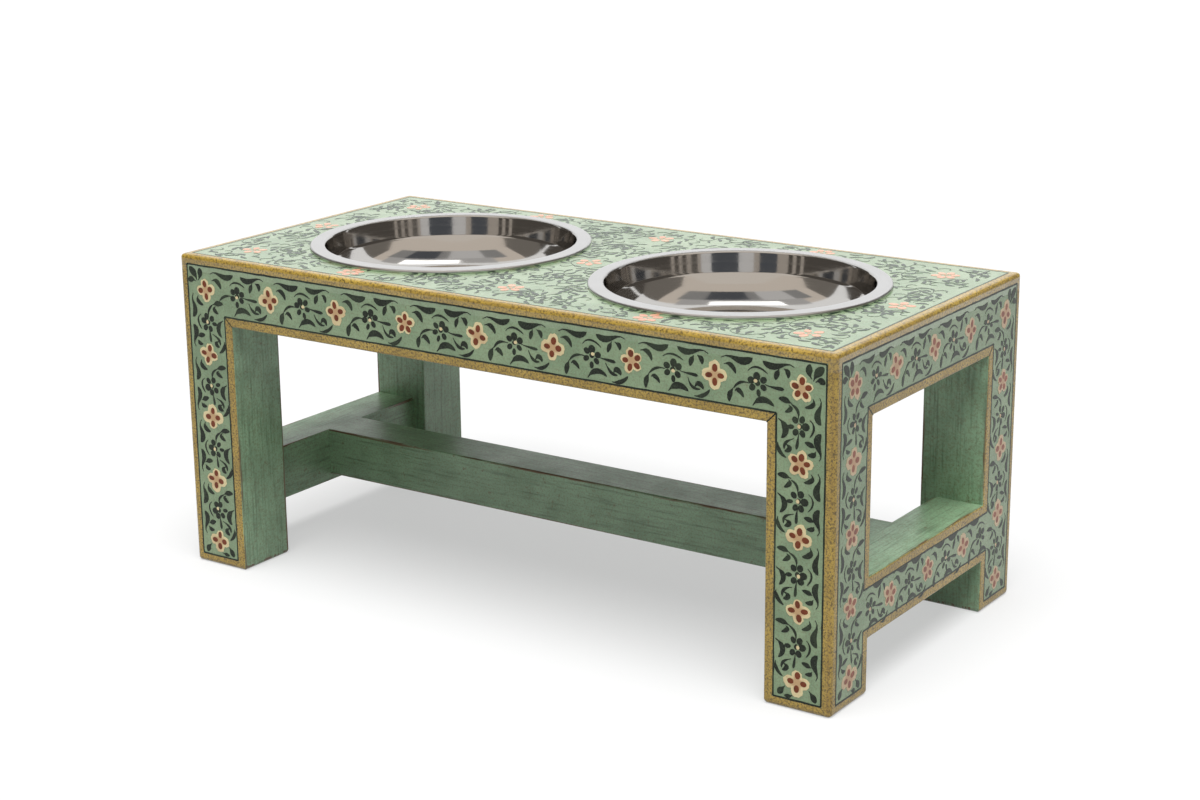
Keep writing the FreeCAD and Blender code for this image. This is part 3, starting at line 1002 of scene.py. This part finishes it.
SCROLL_STEP = 21 * MM
SCROLL_SHAKE = 3 * MM
SCROLL_THIN = 0.45 * MM
SCROLL_STEPS = 7
SCROLL_BREADTH = (0.7, 1.0)
SCROLL_LEAVES = [
    (((0, 0), (6, 5), (13, 5), (18, -1)), 1.2, 0.5),
    (((5, 3.6), (4, 6.5), (5.5, 9.5), (10, 12)), 3.9, 0.55),
    (((10, 4.6), (11.5, 7.5), (14.5, 8.5), (19, 7.4)), 3.6, 0.55),
    (((7, 3.4), (8, 0.5), (7, -3), (4, -6.6)), 3.9, 0.55),
    (((14, 3), (13, 0), (13.5, -3.5), (16, -7.4)), 3.5, 0.55),
    (((0, 0), (-3, -1), (-5, -3.5), (-5, -7)), 2.8, 0.6),
    (((0, 0), (-7, 1), (-9, 9), (-2, 9)), 1.1, 0.5),
    (((18, -1), (22, -5), (17, -10), (13, -7)), 1.1, 0.5),
]
# Clear ground that scrolls leave along the border, round the holes and round the flowers
BORDER_ROOM = 9 * MM
HOLE_ROOM = 3 * MM
FLOWER_ROOM = 10 * MM
# How far the top's flowers stand from the bowls' rims and from the edges
RIM_FLOWER = 11 * MM
CORNER_FLOWER_X = 41 * MM
CORNER_FLOWER_Y = 38 * MM
END_FLOWER = 26 * MM
SIDE_FLOWER = 40 * MM


def top_flowers():
    """Middles of the flowers on the top: round the bowls, in the corners and between the bowls."""
    ring = RIM_RADIUS + RIM_FLOWER
    corner = Vector((HALF_LENGTH - CORNER_FLOWER_X, HALF_DEPTH - CORNER_FLOWER_Y))
    places = [Vector((0, 0))]
    for sign in BOTH:
        places.append(Vector((sign * (HALF_LENGTH - END_FLOWER), 0)))
        places.append(Vector((0, sign * (HALF_DEPTH - SIDE_FLOWER))))
        for other in BOTH:
            places.append(Vector((sign * corner.x, other * corner.y)))
            places.append(Vector((sign * BOWL_X, other * ring)))
    return places


def top_is_free(point, flowers):
    """True where the top has bare ground: inside the border, off the bowls' holes and off the flowers."""
    if edge_distance(SIDES["top"], point.x, point.y) < BORDER_ROOM:
        return False
    if Vector((abs(point.x) - BOWL_X, point.y)).length < BOARD_HOLE_RADIUS + HOLE_ROOM:
        return False
    return all((point - flower).length > FLOWER_ROOM for flower in flowers)


def paint_scrolls(bm, rng):
    """Leafy scrolls scattered over the top."""
    flowers = top_flowers()
    columns = int(2 * HALF_LENGTH / SCROLL_STEP)
    rows = int(2 * HALF_DEPTH / SCROLL_STEP)
    for column in range(columns + 1):
        for row in range(rows + 1):
            shift = 0.5 if row % 2 else 0.0
            start = Vector(((column + shift) * SCROLL_STEP - HALF_LENGTH, row * SCROLL_STEP - HALF_DEPTH))
            start = shaken(start, rng, SCROLL_SHAKE)
            turn = Matrix.Rotation(rng.uniform(0, 2 * pi), 2)
            flip = rng.choice(BOTH)
            for points, full, swell in SCROLL_LEAVES:
                path = [start + turn @ Vector((x * MM, flip * y * MM)) for x, y in points]
                if all(top_is_free(point, flowers) for point in path):
                    width = full * MM * rng.uniform(*SCROLL_BREADTH)
                    stroke(bm, path, width, swell, rng, SCROLL_THIN, SCROLL_STEPS)


# Flowers

NOTCH = 0.58
LOBE_ROUND = 0.8
LOBE_SIDES = 10
PETAL_COUNTS = (4, 4, 4, 5)
# Ranges in which flowers and their spots vary: shares of the radius, and angles
PETAL_REACH = (0.88, 1.08)
PETAL_EDGE = (0.95, 1.05)
HEART_RADIUS = 0.5
FLOWER_REACH = (0.93, 1.05)
FLOWER_LEAN = (-0.25, 0.25)
SPOT_PLACE = (0.46, 0.54)
SPOT_LONG = (0.5, 0.6)
SPOT_WIDE = (0.38, 0.48)
SPOT_UNEVEN = 0.006 * MM
TOP_PETAL_COUNTS = (5, 5, 6)
TOP_FLOWER_SCALE = 1.4
TOP_HEART_LONG = 0.3
TOP_HEART_WIDE = 0.25


def petals(bm, middle, radius, count, turn, rng):
    """A flower's petals as one lobed shape."""
    heart = bm.verts.layers.float["heart"]
    made = bmesh.ops.create_circle(bm, segments=LOBE_SIDES * count, radius=1, cap_ends=True, cap_tris=True)
    reach = [radius * rng.uniform(*PETAL_REACH) for _ in range(count)]
    for vert in made["verts"]:
        flat = vert.co.xy
        if flat.length < HEART_RADIUS:
            vert[heart] = 1.0
            vert.co = (*middle, 0)
            continue
        angle = atan2(flat.y, flat.x)
        petal = (angle - turn) / (2 * pi) * count
        lobe = abs(cos(pi * (petal - round(petal)))) ** LOBE_ROUND
        size = reach[round(petal) % count] * (NOTCH + (1 - NOTCH) * lobe) * rng.uniform(*PETAL_EDGE)
        vert.co = (*(middle + towards(angle) * size), 0)


def spots(bm, middle, radius, count, turn, rng):
    """The spots of a flower, one on each petal."""
    for number in range(count):
        angle = turn + 2 * pi * number / count + rng.uniform(*DAB_LEAN)
        place = middle + towards(angle) * radius * rng.uniform(*SPOT_PLACE)
        dab(bm, place, radius * rng.uniform(*SPOT_LONG), radius * rng.uniform(*SPOT_WIDE), angle,
            rng.uniform(0, SPOT_UNEVEN))


def paint_top_flowers(side, rng):
    """The flowers of the top, each a ring of salmon dabs."""
    radius = paint_sizes().flower_radius
    salmon = bmesh.new()
    for place in top_flowers():
        count = rng.choice(TOP_PETAL_COUNTS)
        spots(salmon, place, TOP_FLOWER_SCALE * radius, count, rng.uniform(0, pi), rng)
        dab(salmon, place, TOP_HEART_LONG * radius, TOP_HEART_WIDE * radius, 0)
    raise_paint(salmon, side, "top_petals", "salmon_petal_paint", TOP_PETAL_HEIGHT)


def paint_flowers(name, side, palette, rng):
    """The cream flowers of a side and their spots, and the cream dots on some sprigs."""
    radius = paint_sizes().flower_radius
    cream = bmesh.new()
    cream.verts.layers.float.new("heart")
    rust = bmesh.new()
    for place in border_flowers(side):
        count = rng.choice(PETAL_COUNTS)
        turn = pi / 2 + rng.uniform(*FLOWER_LEAN)
        petals(cream, place, radius * rng.uniform(*FLOWER_REACH), count, turn, rng)
        spots(rust, place, radius, count, turn, rng)
    for place, lean in border_sprigs(side):
        if rng.random() < DOTTED_SHARE:
            dab(cream, shaken(place, rng, SPRIG_DOT / 2), SPRIG_DOT, DOT_WIDE * SPRIG_DOT, lean)
    raise_paint(cream, side, name + "_petals", palette.petal, PETAL_HEIGHT)
    raise_paint(rust, side, name + "_petal_spots", palette.spot, SPOT_HEIGHT)


# Border lines

MITRE_WIDTH = 0.7


def line_corners(side):
    """The straight lines just inside the gold, as pairs of places."""
    inset = paint_sizes().gold_width + paint_sizes().line_width / 2
    half, low, high = side.half - inset, side.low + inset, side.high - inset
    if not side.openings:
        corners = [(-half, low), (half, low), (half, high), (-half, high)]
        return list(zip(corners, corners[1:] + corners[:1]))
    lines = [((-half, high), (half, high)), ((-half, low), (-half, high)), ((half, low), (half, high))]
    for opening, sill, head in side.openings:
        inner = opening + inset
        upper = head + inset
        lower = sill - inset if sill else low
        lines.append(((-inner, upper), (inner, upper)))
        if sill:
            lines.append(((-inner, lower), (inner, lower)))
        lines += [((sign * inner, lower), (sign * inner, upper)) for sign in BOTH]
    return lines + [((sign * inner, low), (sign * half, low)) for sign in BOTH]


def mitre_lines(side):
    """Short strokes across the gold at the upper corners of the topmost opening."""
    gold = paint_sizes().gold_width
    for half, _, high in side.openings[:1]:
        for sign in BOTH:
            yield (sign * half, high), (sign * (half + gold), high + gold)


def paint_lines(name, side, paint, rng):
    """The thin lines of a side."""
    bm = bmesh.new()
    width = paint_sizes().line_width
    for start, end in line_corners(side):
        ruled_line(bm, start, end, width, rng)
    for start, end in mitre_lines(side):
        ruled_line(bm, start, end, MITRE_WIDTH * width, rng)
    raise_paint(bm, side, name + "_border_lines", paint, LINE_HEIGHT)


# Bowls

BEND_STEPS = 10
BOWL_MERGE = 0.005 * MM


def bowl_profile():
    """Corners of the middle of the sheet, from the bottom's centre to the hem, and the bend at each."""
    sizes = bpy.context.scene.stand_bowl
    brim = STAND_TOP + sizes.brim_lift
    collar = RIM_RADIUS - sizes.brim_width
    bottom = BOWL_LOW.z + sizes.sheet / 2
    hem = RIM_RADIUS - sizes.sheet / 2
    corners = [
        Vector((0, 0, bottom)),
        Vector((sizes.base_radius, 0, bottom)),
        Vector((collar - sizes.collar_taper, 0, brim - sizes.collar_depth)),
        Vector((collar, 0, brim)),
        Vector((hem, 0, brim - sizes.brim_fall)),
        Vector((hem, 0, STAND_TOP)),
    ]
    return corners, [sizes.base_bend, sizes.collar_bend, sizes.brim_bend, sizes.hem_bend]


def bent_profile(bm):
    """The sheet's middle line with its corners bent round."""
    corners, bends = bowl_profile()
    verts = [bm.verts.new(corner) for corner in corners]
    for first, second in zip(verts, verts[1:]):
        bm.edges.new((first, second))
    for vert, before, after, bend in zip(verts[1:-1], corners, corners[2:], bends):
        half = (before - vert.co).angle(after - vert.co) / 2
        bmesh.ops.bevel(bm, geom=[vert], offset=bend / tan(half), offset_type="OFFSET", affect="VERTICES",
                        segments=BEND_STEPS, profile=0.5, material=-1)


def make_bowl(node):
    """A pressed steel bowl, turned from its section."""
    sizes = bpy.context.scene.stand_bowl
    tints = bpy.context.scene.stand_steel
    low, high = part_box(node)
    bm = bmesh.new()
    bent_profile(bm)
    bmesh.ops.spin(bm, geom=bm.verts[:] + bm.edges[:], cent=(0, 0, 0), axis=UPWARD, angle=2 * pi,
                   steps=sizes.turns, use_merge=True)
    bmesh.ops.remove_doubles(bm, verts=bm.verts, dist=BOWL_MERGE)
    bmesh.ops.recalc_face_normals(bm, faces=bm.faces)
    lowest = min(bm.faces, key=lambda face: face.calc_center_median().z)
    if lowest.normal.z < 0:
        bmesh.ops.reverse_faces(bm, faces=bm.faces[:])
    collar = RIM_RADIUS - sizes.brim_width
    for face in bm.faces:
        face.smooth = True
        face.material_index = 1 if face.calc_center_median().xy.length > collar else 0
    bmesh.ops.translate(bm, verts=bm.verts, vec=((low.x + high.x) / 2, 0, 0))
    inside = kept("polished_steel", steel, tints.polished, *POLISHED)
    brim = kept("satin_steel", steel, tints.satin, *SATIN)
    made = piece(bm, node + "_steel", [inside, brim], node, [node])
    wall = made.modifiers.new("sheet", "SOLIDIFY")
    wall.thickness = sizes.sheet
    wall.offset = 0
    wall.use_even_offset = True


# Stage

WHITE = (1, 1, 1)
FLOOR_REACH = 15
FLOOR_ROUGHNESS = 0.9
KEY_WAY = (-0.13, 0.24, -1.0)
SENSOR_WIDTH = 36


def make_world(stage):
    """White where it is seen, a soft fill where it lights."""
    world = bpy.data.worlds.new("studio")
    bpy.context.scene.world = world
    world.use_nodes = True
    nodes = Nodes(world.node_tree)
    ground = world.node_tree.nodes["Background"].inputs
    nodes.feed(ground["Color"], WHITE)
    nodes.feed(ground["Strength"], nodes.directly_seen(stage.sky, 1))


def make_floor(stage):
    """A plain white floor that keeps the stand's shadow."""
    finish = Finish("white_floor")
    finish.surface(Base_Color=[stage.floor_tone] * 3, Roughness=FLOOR_ROUGHNESS, Specular_IOR_Level=0.0,
                   Emission_Color=WHITE, Emission_Strength=finish.directly_seen(0, stage.floor_glow))
    bm = bmesh.new()
    bmesh.ops.create_grid(bm, x_segments=1, y_segments=1, size=FLOOR_REACH)
    meshed(bm, "floor", [finish.material])


Card = namedtuple("Card", "name middle spans width height tint")

WARM = (0.42, 0.375, 0.33)
SHADE = (0.09, 0.08, 0.07)
DIM = (0.13, 0.118, 0.105)
DUSK = (0.2, 0.182, 0.162)
INK = (0.09, 0.096, 0.108)
GREY = (0.62, 0.61, 0.60)
BEIGE = (0.75, 0.69, 0.62)

# The room that the steel mirrors, in metres: middles to the right of the stand, from it towards the camera
# and up from the floor, and spans as two of right, near and up.
ROOM = [
    Card("near_wall", (0, 2.6, 1.1), "ru", 5.2, 2.2, WARM),
    Card("left_wall", (-2.6, 0.6, 1.1), "nu", 4, 2.2, SHADE),
    Card("right_wall", (2.6, 0.6, 1.1), "nu", 4, 2.2, SHADE),
    Card("far_left_wall", (-2.6, -2.8, 1.1), "nu", 2.4, 2.2, SHADE),
    Card("far_right_wall", (2.6, -2.8, 1.1), "nu", 2.4, 2.2, SHADE),
    Card("cupboard", (-1.3, 2.55, 1), "ru", 0.9, 1.8, INK),
    Card("window", (-0.3, 2.55, 1), "ru", 0.6, 1.8, GREY),
    Card("screen", (0.55, 2.55, 1), "ru", 1.1, 1.8, INK),
    Card("right_window", (1.35, 2.55, 1), "ru", 0.5, 1.8, GREY),
    Card("curtain", (2, 2.55, 1), "ru", 0.4, 1.8, DIM),
    Card("left_post", (-2.55, 2.1, 1), "nu", 0.25, 1.8, WARM),
    Card("second_left_post", (-2.55, 1.6, 1), "nu", 0.2, 1.8, WARM),
    Card("right_post", (2.55, 2.1, 1), "nu", 0.25, 1.8, WARM),
    Card("second_right_post", (2.55, 1.6, 1), "nu", 0.2, 1.8, WARM),
    Card("near_ceiling", (0, 1.7, 2.2), "rn", 5.2, 2, BEIGE),
    Card("mid_ceiling", (0, -0.3, 2.2), "rn", 2.9, 2, (0.72, 0.645, 0.565)),
    Card("left_ceiling", (-2.025, -0.3, 2.2), "rn", 1.15, 2, DUSK),
    Card("right_ceiling", (2.025, -0.3, 2.2), "rn", 1.15, 2, DUSK),
    Card("grey_panel", (0, -0.45, 2.15), "rn", 2, 0.8, (0.30, 0.295, 0.29)),
    Card("pale_panel", (-0.35, -0.45, 2.14), "rn", 0.5, 0.8, GREY),
    Card("dark_panel", (0.3, -0.45, 2.13), "rn", 0.5, 0.8, INK),
    Card("soft_box", (0.1, -1.05, 2.1), "rn", 1.6, 0.55, (0.5, 0.49, 0.48)),
    Card("lamp", (0.1, -1.1, 2.05), "rn", 0.7, 0.4, (2.4, 2.4, 2.4)),
]


def glow(name, tint):
    """A card's plain light."""
    finish = Finish(name)
    finish.tree.nodes.remove(finish.shader)
    light = finish.add("Emission", {"Color": tint}).outputs["Emission"]
    finish.feed(finish.tree.nodes["Material Output"].inputs["Surface"], light)
    return finish.material


def make_card(card, axes):
    """A flat card that only shiny surfaces see."""
    middle = sum((axes[key] * share for key, share in zip("rnu", card.middle)), Vector())
    along, up = (axes[key] for key in card.spans)
    turn = Matrix((along * card.width / 2, up * card.height / 2, along.cross(up))).transposed().to_4x4()
    bm = bmesh.new()
    bmesh.ops.create_grid(bm, x_segments=1, y_segments=1, size=1, matrix=Matrix.Translation(middle) @ turn)
    made = meshed(bm, card.name, [glow(card.name, card.tint)])
    for ray in ("camera", "diffuse", "shadow", "transmission"):
        setattr(made, "visible_" + ray, False)


def make_room(stage):
    """The studio that the steel mirrors: a dim room on the camera's side with windows and a soft box."""
    axes = {
        "r": Vector((cos(stage.yaw), sin(stage.yaw), 0)),
        "n": Vector((sin(stage.yaw), -cos(stage.yaw), 0)),
        "u": UPWARD,
    }
    for card in ROOM:
        make_card(card, axes)


def make_key(stage):
    """The overhead key light, from the front right."""
    lamp = bpy.data.lights.new("key", "SUN")
    lamp.energy = stage.key_strength
    lamp.angle = stage.key_spread
    key = added("key", lamp)
    key.visible_glossy = False
    key.rotation_mode = "QUATERNION"
    key.rotation_quaternion = Vector(KEY_WAY).to_track_quat("-Z", "Y")


def make_camera(stage):
    """The camera at the photograph's viewing angle."""
    ahead = Vector((-sin(stage.yaw) * cos(stage.pitch), cos(stage.yaw) * cos(stage.pitch),
                    -sin(stage.pitch)))
    right = UPWARD.cross(-ahead).normalized()
    up = (-ahead).cross(right)
    level, tilt = cos(stage.roll), sin(stage.roll)
    turned = Matrix((right * level + up * tilt, up * level - right * tilt, -ahead)).transposed().to_4x4()
    lens = bpy.data.cameras.new("camera")
    lens.lens = stage.lens
    lens.sensor_width = SENSOR_WIDTH
    camera = added("camera", lens)
    camera.matrix_world = Matrix.Translation(stage.eye) @ turned
    bpy.context.scene.camera = camera


# Operators

BORDER_SEED = 40
TOP_SEED = 7


class BOWLSTAND_OT_stage(bpy.types.Operator):
    """Set up the floor, light, mirrored room and camera"""
    bl_idname = "bowlstand.stage"
    bl_label = "Stage"

    def execute(self, context):
        context.scene.view_settings.view_transform = "Standard"
        for make in (make_world, make_floor, make_room, make_key, make_camera):
            make(context.scene.stand_stage)
        return {"FINISHED"}


class BOWLSTAND_OT_board(bpy.types.Operator):
    """Build the painted top board with its two bowl holes"""
    bl_idname = "bowlstand.board"
    bl_label = "Top Board"

    def execute(self, context):
        make_board()
        return {"FINISHED"}


class BOWLSTAND_OT_legs(bpy.types.Operator):
    """Build the four painted legs"""
    bl_idname = "bowlstand.legs"
    bl_label = "Legs"

    def execute(self, context):
        for node in LEGS:
            make_timber(node, ALONG_Z)
        return {"FINISHED"}


class BOWLSTAND_OT_aprons(bpy.types.Operator):
    """Build the four painted aprons under the board"""
    bl_idname = "bowlstand.aprons"
    bl_label = "Aprons"

    def execute(self, context):
        for node in APRONS:
            make_timber(node, grain_axis(node))
        return {"FINISHED"}


class BOWLSTAND_OT_stretchers(bpy.types.Operator):
    """Build the side stretchers and the plain centre stretcher"""
    bl_idname = "bowlstand.stretchers"
    bl_label = "Stretchers"

    def execute(self, context):
        for node in STRETCHERS:
            make_timber(node, grain_axis(node))
        return {"FINISHED"}


class BOWLSTAND_OT_border(bpy.types.Operator):
    """Paint the dark lines, leaves and flowers on the four sides"""
    bl_idname = "bowlstand.border"
    bl_label = "Flower Border"

    def execute(self, context):
        for number, (name, palette) in enumerate(PALETTES.items()):
            side = SIDES[name]
            rng = Random(BORDER_SEED + number)
            paint_lines(name, side, palette.leaf, rng)
            leaves = bmesh.new()
            paint_vine(leaves, side, palette.weight, rng)
            paint_ends(leaves, side, rng)
            raise_paint(leaves, side, name + "_leaves", palette.leaf, LEAF_HEIGHT)
            paint_flowers(name, side, palette, rng)
        return {"FINISHED"}


class BOWLSTAND_OT_scrolls(bpy.types.Operator):
    """Paint the line, scrolls and flowers on the top"""
    bl_idname = "bowlstand.scrolls"
    bl_label = "Top Scrolls"

    def execute(self, context):
        side = SIDES["top"]
        rng = Random(TOP_SEED)
        paint_lines("top", side, "sage_leaf_paint", rng)
        leaves = bmesh.new()
        paint_scrolls(leaves, rng)
        raise_paint(leaves, side, "top_leaves", "sage_leaf_paint", LEAF_HEIGHT)
        paint_top_flowers(side, rng)
        return {"FINISHED"}


class BOWLSTAND_OT_bowls(bpy.types.Operator):
    """Turn the two steel bowls"""
    bl_idname = "bowlstand.bowls"
    bl_label = "Bowls"

    def execute(self, context):
        for node in BOWLS:
            make_bowl(node)
        return {"FINISHED"}


class BOWLSTAND_OT_fastenings(bpy.types.Operator):
    """Finish the cleats, dowels and screws"""
    bl_idname = "bowlstand.fastenings"
    bl_label = "Cleats, Dowels and Screws"

    def execute(self, context):
        woods = [kept("bare_wood_along_" + "xyz"[axis], bare_wood, axis) for axis in (ALONG_X, ALONG_Y)]
        finishes = {name: woods[grain_axis(name)] for name in CLEATS + DOWELS}
        finishes.update({name: kept("zinc_plate", zinc) for name in SCREWS})
        for name, finish in finishes.items():
            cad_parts[name].material_slots[0].material = finish
        return {"FINISHED"}


GROUPS = {
    "stand_timber": TimberSizes,
    "stand_paint": PaintSizes,
    "stand_colours": PaintColours,
    "stand_bowl": BowlSizes,
    "stand_steel": SteelColours,
    "stand_stage": StageSettings,
}
OPERATORS = (BOWLSTAND_OT_stage, BOWLSTAND_OT_board, BOWLSTAND_OT_legs, BOWLSTAND_OT_aprons,
             BOWLSTAND_OT_stretchers, BOWLSTAND_OT_border, BOWLSTAND_OT_scrolls, BOWLSTAND_OT_bowls,
             BOWLSTAND_OT_fastenings)


class BOWLSTAND_PT_panel(bpy.types.Panel):
    """Sizes, colours and building steps of the bowl stand"""
    bl_idname = "BOWLSTAND_PT_panel"
    bl_label = "Bowl Stand"
    bl_space_type = "VIEW_3D"
    bl_region_type = "UI"
    bl_category = "Bowl Stand"

    def draw(self, context):
        for operator in OPERATORS:
            self.layout.operator(operator.bl_idname)
        for name, group in GROUPS.items():
            box = self.layout.box()
            box.label(text=group.__doc__)
            for setting in group.__annotations__:
                box.prop(getattr(context.scene, name), setting)


def register():
    for name, group in GROUPS.items():
        bpy.utils.register_class(group)
        setattr(bpy.types.Scene, name, PointerProperty(type=group))
    for operator in OPERATORS:
        bpy.utils.register_class(operator)
    bpy.utils.register_class(BOWLSTAND_PT_panel)


def unregister():
    bpy.utils.unregister_class(BOWLSTAND_PT_panel)
    for operator in reversed(OPERATORS):
        bpy.utils.unregister_class(operator)
    for name, group in reversed(GROUPS.items()):
        delattr(bpy.types.Scene, name)
        bpy.utils.unregister_class(group)


def main():
    """Builds the whole stand."""
    register()
    bpy.ops.bowlstand.stage()
    bpy.ops.bowlstand.board()
    bpy.ops.bowlstand.legs()
    bpy.ops.bowlstand.aprons()
    bpy.ops.bowlstand.stretchers()
    bpy.ops.bowlstand.border()
    bpy.ops.bowlstand.scrolls()
    bpy.ops.bowlstand.bowls()
    bpy.ops.bowlstand.fastenings()


if __name__ == "__main__":
    main()
